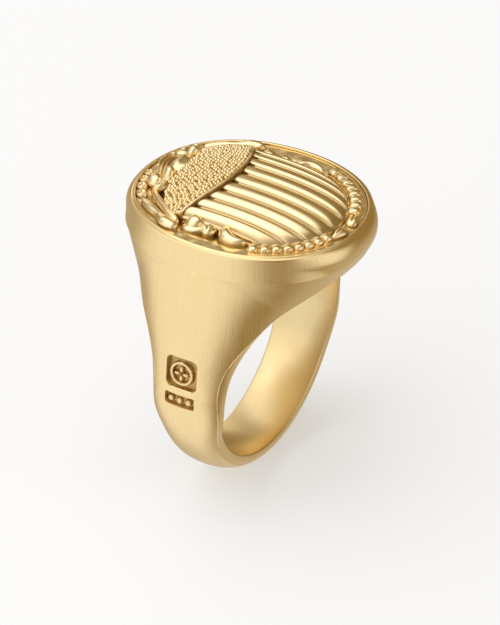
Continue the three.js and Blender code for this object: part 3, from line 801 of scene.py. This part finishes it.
class RING_OT_wing_case(bpy.types.Operator):
    """Builds the beetle's wing case, with its ribs and the fine wire in each valley"""

    bl_idname = "ring.wing_case"
    bl_label = "Wing case"

    def execute(self, context):
        body = Body()
        x = np.linspace(-WING_HALF_WIDTH, WING_HALF_WIDTH, 400)
        left = 1 - np.abs(x / DOME_HALF_X) ** 2.4
        tail = DOME_CENTRE_Y - WING_REACH_Y * (left - 0.004) ** (1 / 2.2)
        front = shield_rear(x) + 0.4
        run = np.sin(np.linspace(0, math.pi / 2, 160))
        grid_x = np.repeat(x[None], len(run), 0)
        grid_y = front + (tail - front) * run[:, None]
        dome = WING_RISE * dome_share(grid_x, grid_y, WING_REACH_Y)
        edges = np.array([-e for e in reversed(RIB_EDGES)] + list(RIB_EDGES))
        rib = np.clip(np.searchsorted(edges, x, side="right") - 1, 0, len(edges) - 2)
        centre = (edges[rib] + edges[rib + 1]) / 2
        reach = (edges[rib + 1] - edges[rib]) / 2
        to_edge = reach - np.abs(x - centre)
        valley = 0.14
        across = np.clip(np.abs(x - centre) / (reach - valley), 0, 1)
        depth = sizes().rib_depth / MM
        strength = smooth(0.25, 1.4, dome)
        inner = np.abs(x) < WING_HALF_WIDTH - 0.3     # no wire or pit at the outer hem
        wire = 0.22 * np.exp(-(to_edge / 0.055) ** 2) * (to_edge < 0.3) * inner
        top = dome - strength * depth * (0.3 * across**2 + 0.7 * across**8) + strength * wire
        # A drilled pit ends each valley beside the shield.
        pit = smooth(0.45, 0.2, np.abs(grid_y - shield_rear(x) + 0.15)) * smooth(0.22, 0.1, to_edge)
        top = np.maximum(top - 0.22 * pit * inner, 0.06)
        points, faces = relief_block(
            grid_x, grid_y, body.ground + top, body.ground - RELIEF_ROOT)
        recess = np.zeros(len(points))
        # Painted shade in the valleys beside each wire, painted shadow beside the shield's rear
        # edge, and painted shade towards the tail.
        groove = smooth(0.24, 0.1, to_edge) * (1 - 0.75 * np.exp(-(to_edge / 0.05) ** 2))
        shield_shadow = smooth(0.18, 0.02, shield_rear(x) - grid_y)
        tail_shade = 0.5 * smooth(1.5, 0.5, dome) * (grid_y < DOME_CENTRE_Y)
        recess[:grid_x.size] = np.maximum(np.maximum(groove * 0.9, tail_shade), shield_shadow).ravel()
        piece = make_piece("wing_ribs", points, faces, [relief_gold()], recess=recess, sharp=180)
        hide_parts("wing_case")
        return {"FINISHED"}


class RING_OT_shield(bpy.types.Operator):
    """Builds the shield over the front of the wing case, and the grains that cover it"""

    bl_idname = "ring.shield"
    bl_label = "Shield"

    def execute(self, context):
        body = Body()
        self.plate(body)
        self.grain(body)
        return {"FINISHED"}

    def plate(self, body):
        x = SHIELD_HALF_WIDTH * np.sin(np.linspace(-1, 1, 150) * math.pi / 2)
        v = np.r_[0, 0.004, np.linspace(0.012, 1, 70)]
        rear, front = shield_rear(x), shield_front(x)
        grid_x = np.repeat(x[None], len(v), 0)
        grid_y = rear + (front - rear) * v[:, None]
        inward = np.minimum(grid_y - rear, (SHIELD_HALF_WIDTH - np.abs(grid_x)) * 1.2)
        lip = smooth(0.0, 0.04, inward) * smooth(SHIELD_LIP, 0.16, inward)
        top = shield_top(grid_x, grid_y) - 0.12 + 0.17 * lip
        points, faces = relief_block(
            grid_x, grid_y, body.ground + top, body.ground - RELIEF_ROOT)
        # The foot of the rear wall is undercut, so that its edge throws a shadow on the ribs.
        edge_y = points[:, 1] - shield_rear(points[:, 0])
        low = points[:, 2] < body.ground
        undercut = 0.35 * smooth(0.0, 0.6, SHIELD_HALF_WIDTH - np.abs(points[:, 0]))
        points[:, 1] += np.where(low & (np.abs(edge_y) < 0.01), undercut, 0)
        # Painted shade: the shield's walls and its face between the grains are darkened; only the
        # lip is clean gold.
        recess = np.full(len(points), 0.95)
        recess[:grid_x.size] = mix(0.95, 0.0, lip).ravel()
        piece = make_piece("shield_plate", points, faces, [relief_gold()], recess=recess, sharp=45)
        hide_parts("thorax_shield")

    def grain(self, body):
        """Rows of small round grains that follow the shield's rear edge."""
        pitch = sizes().grain_pitch / MM
        random = np.random.default_rng(7)
        step = 0.02
        places, normals, scales = [], [], []
        for row in range(16):       # enough rows to reach the shield's front
            offset = SHIELD_LIP + 0.18 + row * pitch * 0.88
            shift = (row % 2) * pitch / 2
            for x in np.arange(-6.2 + shift, 6.2, pitch):
                gx = x + random.uniform(-0.09, 0.09)
                bow = 0.012 * row * gx * gx
                gy = shield_rear(gx) + offset - bow * 0.35 + random.uniform(-0.07, 0.07)
                if abs(gx) > SHIELD_HALF_WIDTH - 0.22 or gy > shield_front(gx) - 0.12:
                    continue
                slope_x = (shield_top(gx + step, gy) - shield_top(gx - step, gy)) / (2 * step)
                slope_y = (shield_top(gx, gy + step) - shield_top(gx, gy - step)) / (2 * step)
                places.append((gx, gy, body.ground + float(shield_top(gx, gy) - 0.13)))
                normals.append(Vector((-float(slope_x), -float(slope_y), 1)).normalized())
                scales.append(random.uniform(0.8, 1.12))
        bead = bead_shape("grain_shape", (0.205, 0.205), 0.25, 12, 4, 2, 1, 0.05)
        piece = scatter("shield_grain", places, normals, scales, bead, relief_gold())


class RING_OT_head(bpy.types.Operator):
    """Builds the beetle's smooth head, with its fluted front"""

    bl_idname = "ring.head"
    bl_label = "Head"

    def execute(self, context):
        body = Body()
        back, front = 6.2, 8.95
        crease_at, flute_pitch = 7.78, 0.42
        across = np.linspace(-1, 1, 150)
        v = np.linspace(0, 1, 150)[:, None]
        half = mix(1.6, 2.0, smooth(0.42, 0.72, v)) * (1 - 0.25 * smooth(0.8, 1.0, v))
        x = across * half
        y = mix(back, front - 0.5 * across**2, v)
        bow = y + 0.11 * x * x
        slope = 1.98 - 0.6 * smooth(6.6, 9.6, bow)
        side = (1 - np.abs(across) ** 3.2) ** 0.5
        waves = 0.13 * np.cos((bow - 8.0) * 2 * math.pi / flute_pitch) * smooth(7.8, 8.0, bow)
        brow = 0.22 * np.exp(-((bow - 7.15) / 0.42) ** 2)
        brow = brow - 0.16 * np.exp(-((bow - crease_at) / 0.1) ** 2)
        top = (slope + brow) * (0.25 + 0.75 * side) + waves * side
        points, faces = relief_block(x, y, body.ground + top, body.ground - RELIEF_ROOT)
        # Painted shade: the walls, the hollows of the flutes, the crease and the sides of the head
        # are darkened.
        recess = np.full(len(points), 0.8)
        hollow = smooth(0.02, -0.1, waves) * smooth(7.7, 8.0, bow)
        crease = np.exp(-((bow - crease_at) / 0.12) ** 2)
        recess[:x.size] = np.maximum(np.maximum(hollow, crease), 1 - side**0.5).ravel()
        piece = make_piece("head_front", points, faces, [relief_gold()], recess=recess, sharp=60)
        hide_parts("head_shield")
        return {"FINISHED"}


class RING_OT_eyes(bpy.types.Operator):
    """Builds the two eyes, each a smooth oval bead in a collar"""

    bl_idname = "ring.eyes"
    bl_label = "Eyes"

    def execute(self, context):
        ground = Body().ground
        middle, turn = (-1.98, 6.9), 0.5
        eye, faces = joined(
            pebble(turned_oval(middle, (0.84, 0.72), turn), middle, 1.85, ground, 12, 3.0),
            pebble(turned_oval(middle, (0.74, 0.62), turn), middle, 2.3, ground, 14, 2.8))
        for name, points in (("left", eye), ("right", mirror_points(eye))):
            # Painted shade: the gold darkens towards the foot of the eye.
            recess = smooth(1.4, 0.9, points[:, 2] - ground)
            piece = make_piece(f"eye_bead_{name}", points, faces, [relief_gold()], recess=recess)
            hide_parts(f"eye_{name}")
        return {"FINISHED"}


def bead_shape(name, half, height, around, levels, squareness, fullness, sink):
    """A small cushion with its rim a little below the ground, as an object that isn't linked.

    A squareness of 2 makes its outline round, and a fullness of 1 makes its section round.
    """
    work = bmesh.new()
    rings = []
    for level in range(levels):
        turn = math.pi / 2 * level / levels
        z = height * math.sin(turn) - (sink if level == 0 else 0.0)
        ring = []
        for a in np.linspace(0, 2 * math.pi, around, endpoint=False):
            c, s = math.cos(a), math.sin(a)
            corner = (abs(c) ** squareness + abs(s) ** squareness) ** (1 / squareness)
            reach = math.cos(turn) ** fullness / corner
            ring.append(work.verts.new(Vector((half[0] * reach * c, half[1] * reach * s, z)) * MM))
        rings.append(ring)
    tip = work.verts.new((0, 0, height * MM))
    for lower, upper in zip(rings, rings[1:]):
        for j in range(around):
            k = (j + 1) % around
            work.faces.new((lower[j], lower[k], upper[k], upper[j]))
    for j in range(around):
        work.faces.new((rings[-1][j], rings[-1][(j + 1) % around], tip))
    work.faces.new(list(reversed(rings[0])))
    mesh = bpy.data.meshes.new(name)
    work.to_mesh(mesh)
    work.free()
    return bpy.data.objects.new(name, mesh)


def scatter_tree():
    """Geometry nodes: one shape on every point, turned to the point's lean and scaled."""
    tree = bpy.data.node_groups.get("ring_scatter")
    if tree is not None:
        return tree
    tree = bpy.data.node_groups.new("ring_scatter", "GeometryNodeTree")
    for name, way, kind in (
            ("Points", "INPUT", "Geometry"), ("Shape", "INPUT", "Object"),
            ("Material", "INPUT", "Material"), ("Result", "OUTPUT", "Geometry")):
        tree.interface.new_socket(name, in_out=way, socket_type="NodeSocket" + kind)
    given = add_node(tree, "NodeGroupInput")
    shape = add_node(tree, "GeometryNodeObjectInfo", {"Object": given.outputs["Shape"]})
    lean, turn, size = (
        add_node(tree, "GeometryNodeInputNamedAttribute", {"Name": name}, data_type=kind)
        for name, kind in (("lean", "FLOAT_VECTOR"), ("turn", "FLOAT"), ("size", "FLOAT")))
    spin = add_node(tree, "ShaderNodeCombineXYZ", {"Z": turn.outputs["Attribute"]})
    spun = add_node(tree, "FunctionNodeEulerToRotation", {"Euler": spin.outputs["Vector"]})
    upright = add_node(tree, "FunctionNodeAlignRotationToVector", {
        "Rotation": spun.outputs["Rotation"], "Vector": lean.outputs["Attribute"]}, axis="Z")
    placed = add_node(tree, "GeometryNodeInstanceOnPoints", {
        "Points": given.outputs["Points"], "Instance": shape.outputs["Geometry"],
        "Rotation": upright.outputs["Rotation"], "Scale": size.outputs["Attribute"]})
    solid = add_node(tree, "GeometryNodeRealizeInstances", {
        "Geometry": placed.outputs["Instances"]})
    painted = add_node(tree, "GeometryNodeSetMaterial", {
        "Geometry": solid.outputs["Geometry"], "Material": given.outputs["Material"]})
    add_node(tree, "NodeGroupOutput", {"Result": painted.outputs["Geometry"]})
    return tree


def scatter(name, places, leans, scales, shape, material, turns=None):
    """Copies a shape onto points with the geometry nodes above, and keeps the plain mesh."""
    cloud = bpy.data.meshes.new(name + "_points")
    cloud.from_pydata([tuple(c * MM for c in place) for place in places], [], [])
    turns = turns if turns is not None else [0.0] * len(places)
    lean = cloud.attributes.new("lean", "FLOAT_VECTOR", "POINT")
    lean.data.foreach_set("vector", np.array([tuple(v) for v in leans], np.float32).ravel())
    for key, values in (("size", scales), ("turn", turns)):
        layer = cloud.attributes.new(key, "FLOAT", "POINT")
        layer.data.foreach_set("value", np.array(values, np.float32))
    carrier = add_object(name + "_points", cloud)
    tree = scatter_tree()
    modifier = carrier.modifiers.new("scatter", "NODES")
    modifier.node_group = tree
    inputs = {item.name: item.identifier for item in tree.interface.items_tree}
    modifier[inputs["Shape"]] = shape
    modifier[inputs["Material"]] = material
    bpy.context.view_layer.update()
    graph = bpy.context.evaluated_depsgraph_get()
    mesh = bpy.data.meshes.new_from_object(carrier.evaluated_get(graph))
    mesh.name = name
    bpy.data.objects.remove(carrier)
    bpy.data.meshes.remove(cloud)
    shade_smooth(mesh)
    piece = add_object(name, mesh)
    bpy.data.objects.remove(shape)
    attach(piece, "root")
    return piece


class RING_OT_border(bpy.types.Operator):
    """Builds the ornament between the beetle and the rim, on both sides"""

    bl_idname = "ring.border"
    bl_label = "Border ornament"

    def execute(self, context):
        body = Body()
        self.ground = body.ground + BORDER_LIFT
        # Each stop: x, y, half-width and height.
        bars = {
            "foreleg": [
                (-3.1, 7.85, 0.2, 0.6), (-4.1, 7.05, 0.36, 0.8), (-5.0, 5.98, 0.42, 0.85),
                (-5.75, 4.95, 0.42, 0.85), (-6.3, 4.1, 0.4, 0.78), (-6.75, 3.2, 0.22, 0.6)],
            "side_scroll": [
                (-4.9, 7.75, 0.2, 0.45), (-5.5, 7.1, 0.46, 0.62), (-6.1, 6.1, 0.48, 0.72),
                (-6.6, 5.2, 0.42, 0.7), (-7.15, 4.35, 0.6, 0.82), (-7.4, 3.5, 0.52, 0.76),
                (-7.35, 2.9, 0.28, 0.5)],
            "hind_leg": [
                (-5.15, -2.4, 0.14, 0.5), (-5.3, -1.6, 0.3, 0.75), (-5.85, -1.05, 0.55, 0.9),
                (-6.45, -1.2, 0.68, 0.95), (-6.85, -1.9, 0.56, 0.85), (-6.8, -2.75, 0.36, 0.7),
                (-6.45, -3.35, 0.16, 0.45)],
        }
        for name, stops in bars.items():
            self.pair(name, *ground_bar(stops, self.ground, squareness=2.3))
        self.drop()
        self.leaves()
        self.scallops()
        return {"FINISHED"}

    def pair(self, name, points, faces, node=True):
        for side in ("left", "right"):
            placed = points if side == "left" else mirror_points(points)
            # Painted shade: each ornament darkens towards the ground.
            recess = smooth(0.46, 0.14, placed[:, 2] - self.ground)
            piece = make_piece(
                f"{name}_relief_{side}", placed, faces, [relief_gold()], recess=recess)
            if node:
                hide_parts(f"{name}_{side}")

    def leaf(self, name, middle, radii, turn, height, levels=14, squareness=2.2, top=None,
             point=0.0, corners=48, node=True):
        outline = turned_oval(middle, radii, turn, point, corners)
        shape = pebble(outline, middle, height, self.ground, levels, squareness, top)
        self.pair(name, *shape, node=node)

    def drop(self):
        """A pointed drop in a low cup."""
        middle = (-6.1, 1.92)
        cup = turned_oval(middle, (1.28, 1.06), 0.45, point=0.4)
        drop = turned_oval(middle, (0.95, 0.76), 0.45, point=0.4)
        self.pair("drop", *joined(
            pebble(cup, middle, 0.5, self.ground, 12, 3.2),
            pebble(drop, middle, 1.05, self.ground, 14, 2.3)))

    def leaves(self):
        """A veined leaf below the drop, and one with a midrib at the tail."""
        middle = (-6.4, 0.6)

        def veins(x, y, share):
            along, across = along_and_across(x, y, middle, 1.2)
            return 0.07 * np.cos((along + np.abs(across) * 0.8) * 2 * math.pi / 0.3) * (1 - share)

        self.leaf("small_leaf", middle, (0.85, 0.66), 1.2, 0.75, top=veins, point=0.3)
        middle_tail = (-1.25, -9.15)

        def midrib(x, y, share):
            across = along_and_across(x, y, middle_tail, -0.15)[1]
            return -0.14 * np.exp(-(across / 0.09) ** 2) * (1 - share)

        self.leaf("tail_leaf", middle_tail, (0.98, 0.5), -0.15, 0.6, top=midrib, point=-0.5)

    def scallops(self):
        """Small curled scales between the head and the rim, and a striped leaf beside each eye."""
        for number, (x, y, turn, size) in enumerate((
                (-4.35, 8.25, 1.0, 0.6), (-3.3, 8.85, 1.15, 0.58),
                (-2.25, 9.22, 1.3, 0.54), (-1.2, 9.4, 1.45, 0.5))):
            def curl(px, py, share, middle=(x, y), size=size):
                away = np.hypot(px - middle[0], py - middle[1]) / size
                return 0.12 * np.cos(away * 2 * math.pi / 0.62) - 0.1 * np.exp(-(away / 0.25) ** 2)

            self.leaf(f"scallop_{number + 1}", (x, y), (size * 1.15, size * 0.8), turn, 0.42,
                      squareness=2.6, top=curl, corners=40, node=False)
        self.leaf("cheek_lobe", (-2.3, 8.15), (0.95, 0.75), 0.9, 1.15, squareness=2.4, node=False)
        middle = (-3.0, 7.0)

        def stripes(x, y, share):
            along = along_and_across(x, y, middle, 0.9)[0]
            return 0.1 * np.cos(along * 2 * math.pi / 0.28) * (1 - share**3)

        self.leaf("cheek_leaf", middle, (0.85, 0.6), 2.5, 1.15, 16, 2.6, stripes, point=0.25,
                  corners=60, node=False)


class RING_OT_chain(bpy.types.Operator):
    """Builds the two chains of square beads, each on a flat wire between two thin rails"""

    bl_idname = "ring.chain"
    bl_label = "Bead chains"

    def execute(self, context):
        body = Body()
        ground = body.ground + BORDER_LIFT
        start, end = 3.57, 4.47   # angles round the crest
        share = 0.893             # how far out the chain lies, as a share of the crest
        angle = np.linspace(start, end, 9)
        count = sizes().bead_count
        for side, name in ((-1, "left"), (1, "right")):
            bars = []    # the wire, then its outer and inner rail
            for offset, half, rise in ((0.0, 0.46, 0.1), (0.066, 0.05, 0.2), (-0.066, 0.05, 0.24)):
                x, y = oval(body.crest_x * (share + offset), body.crest_y * (share + offset), angle)
                stops = [(px, py, half, rise) for px, py in zip(x, y)]
                bars.append(ground_bar(stops, ground, pieces=60, arc=8))
            points, faces = joined(*bars)
            if side > 0:
                points = mirror_points(points)
            # Painted shade: the wire and rails darken towards the ground.
            recess = smooth(0.34, 0.1, points[:, 2] - body.ground)
            piece = make_piece(f"chain_wire_{name}", points, faces, [relief_gold()], recess=recess)
            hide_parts(f"bead_chain_{name}")
            bead_angle = np.linspace(start + 0.03, end - 0.05, count)
            x, y = oval(body.crest_x * share, body.crest_y * share, bead_angle)
            ahead = np.arctan2(np.gradient(y), np.gradient(x))
            x, ahead = (x, ahead) if side < 0 else (-x, math.pi - ahead)
            places = [(px, py, ground + 0.12) for px, py in zip(x, y)]
            shape = bead_shape("bead_shape", (0.43, 0.52), 0.52, 20, 6, 5, 0.42, 0.08)
            beads = scatter(f"chain_beads_{name}", places, [Vector((0, 0, 1))] * count,
                            [1.0] * count, shape, relief_gold(), turns=list(ahead))
        return {"FINISHED"}


# ---- Stage ----
class RING_OT_stage(bpy.types.Operator):
    """Sets the pale floor, the soft studio light and the camera"""

    bl_idname = "ring.stage"
    bl_label = "Stage"

    def execute(self, context):
        self.floor()
        self.world()
        self.lights()
        self.camera()
        context.scene.view_settings.view_transform = "Standard"
        return {"FINISHED"}

    def floor(self):
        low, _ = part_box("shank")
        size = 0.6
        mesh = bpy.data.meshes.new("floor")
        corners = [(-size, -size), (size, -size), (size, size), (-size, size)]
        mesh.from_pydata([(x, y, low.z) for x, y in corners], [], [(0, 1, 2, 3)])
        material = bpy.data.materials.new("pale_floor")
        material.use_nodes = True
        shader = material.node_tree.nodes["Principled BSDF"]
        fill_inputs(material.node_tree, shader, {
            "Base Color": (*hex_colour("#D3D3D3"), 1), "Roughness": 0.9,
            "Specular IOR Level": 0.0, "Emission Color": (*hex_colour("#A9ACB0"), 1),
            "Emission Strength": 1.0})
        mesh.materials.append(material)
        floor = add_object("floor", mesh)
        floor.visible_glossy = False

    def world(self):
        """A light tent: bright on the near left and overhead, dim and warm low at the far right."""
        world = bpy.data.worlds.new("studio")
        world.use_nodes = True
        tree = world.node_tree
        way = add_node(tree, "ShaderNodeTexCoord").outputs["Generated"]
        total = None
        # Each glow: where it is, the cosines where it starts and is full, and its brightness.
        for toward, start, full, level in (
            ((-0.72, 0.38, -0.56), 0.5, 0.97, 1.1),
            ((-0.75, 0.35, 0.5), 0.2, 0.97, 0.62),
            ((0.0, 0.38, 0.92), 0.6, 0.99, 0.8),
            ((-0.05, -0.97, 0.2), 0.7, 0.98, 0.9),
            ((0.15, 0.6, -0.8), 0.35, 0.97, 0.3),
            ((0.5, -0.35, -0.8), 0.5, 0.97, 0.32),
        ):
            facing = add_node(
                tree, "ShaderNodeVectorMath", {0: way, 1: toward}, operation="DOT_PRODUCT")
            glow = add_node(tree, "ShaderNodeMapRange", {
                "Value": facing.outputs["Value"], "From Min": start, "From Max": full,
                "To Min": 0.0, "To Max": level}, interpolation_type="SMOOTHSTEP")
            if total is None:
                total = glow.outputs["Result"]
            else:
                total = add_node(tree, "ShaderNodeMath", {
                    0: total, 1: glow.outputs["Result"]}, operation="ADD").outputs["Value"]
        tone = add_node(tree, "ShaderNodeMix", {
            "Factor": total, "A": (0.29, 0.21, 0.09, 1), "B": (1.0, 1.0, 1.02, 1)},
            data_type="RGBA")
        tree.links.new(tone.outputs["Result"], tree.nodes["Background"].inputs["Color"])
        tree.nodes["Background"].inputs["Strength"].default_value = 1.0
        bpy.context.scene.world = world

    def area(self, name, place, target, size, power):
        light = bpy.data.lights.new(name, "AREA")
        light.shape = "RECTANGLE"
        light.size, light.size_y = size
        light.energy = power
        lamp = add_object(name, light)
        lamp.location = place
        lamp.rotation_euler = (Vector(target) - Vector(place)).to_track_quat("-Z", "Y").to_euler()

    def lights(self):
        middle = (0, 0, 0.004)
        self.area("key", (-0.2, 0.08, 0.2), middle, (0.3, 0.3), 0.14)
        self.area("top", (0.02, 0.05, 0.3), middle, (0.3, 0.3), 0.16)
        self.area("back", (0.2, 0.22, 0.12), middle, (0.2, 0.12), 0.05)

    def camera(self):
        azimuth, elevation, roll = (math.radians(a) for a in (60.41, 33.92, 0.88))
        back = Vector((
            -math.sin(azimuth) * math.cos(elevation),
            -math.cos(azimuth) * math.cos(elevation),
            math.sin(elevation)))
        data = bpy.data.cameras.new("camera")
        data.sensor_width = 36.0
        data.lens = 227.15
        data.clip_start = 0.01
        data.clip_end = 5.0
        camera = add_object("camera", data)
        turn = back.to_track_quat("Z", "Y").to_matrix()
        up = turn @ Vector((0, 1, 0))
        place = back * 342.0 * MM
        aim = up * 2.05 * MM
        look = (place - aim).to_track_quat("Z", "Y").to_matrix()
        look = look @ Matrix.Rotation(roll, 3, "Z")
        camera.matrix_world = Matrix.Translation(place) @ look.to_4x4()
        bpy.context.scene.camera = camera


class RING_PT_panel(bpy.types.Panel):
    """Sizes, finish and build buttons"""

    bl_idname = "RING_PT_panel"
    bl_label = "Signet Ring"
    bl_space_type = "VIEW_3D"
    bl_region_type = "UI"
    bl_category = "Signet Ring"

    def draw(self, context):
        layout = self.layout
        for group in (context.scene.ring_sizes, context.scene.ring_finish):
            box = layout.box()
            for key in group.__annotations__:
                box.prop(group, key)
        for operator in OPERATORS:
            layout.operator(operator.bl_idname)


OPERATORS = (
    RING_OT_shank, RING_OT_rim, RING_OT_plate, RING_OT_wing_case, RING_OT_shield, RING_OT_head,
    RING_OT_eyes, RING_OT_border, RING_OT_chain, RING_OT_stage)
CLASSES = (RingSizes, RingFinish, *OPERATORS, RING_PT_panel)


def register():
    for item in CLASSES:
        bpy.utils.register_class(item)
    bpy.types.Scene.ring_sizes = PointerProperty(type=RingSizes)
    bpy.types.Scene.ring_finish = PointerProperty(type=RingFinish)


def unregister():
    del bpy.types.Scene.ring_finish
    del bpy.types.Scene.ring_sizes
    for item in reversed(CLASSES):
        bpy.utils.unregister_class(item)


def main():
    register()
    bpy.ops.ring.shank()
    bpy.ops.ring.rim()
    bpy.ops.ring.plate()
    bpy.ops.ring.wing_case()
    bpy.ops.ring.shield()
    bpy.ops.ring.head()
    bpy.ops.ring.eyes()
    bpy.ops.ring.border()
    bpy.ops.ring.chain()
    bpy.ops.ring.stage()


if __name__ == "__main__":
    main()
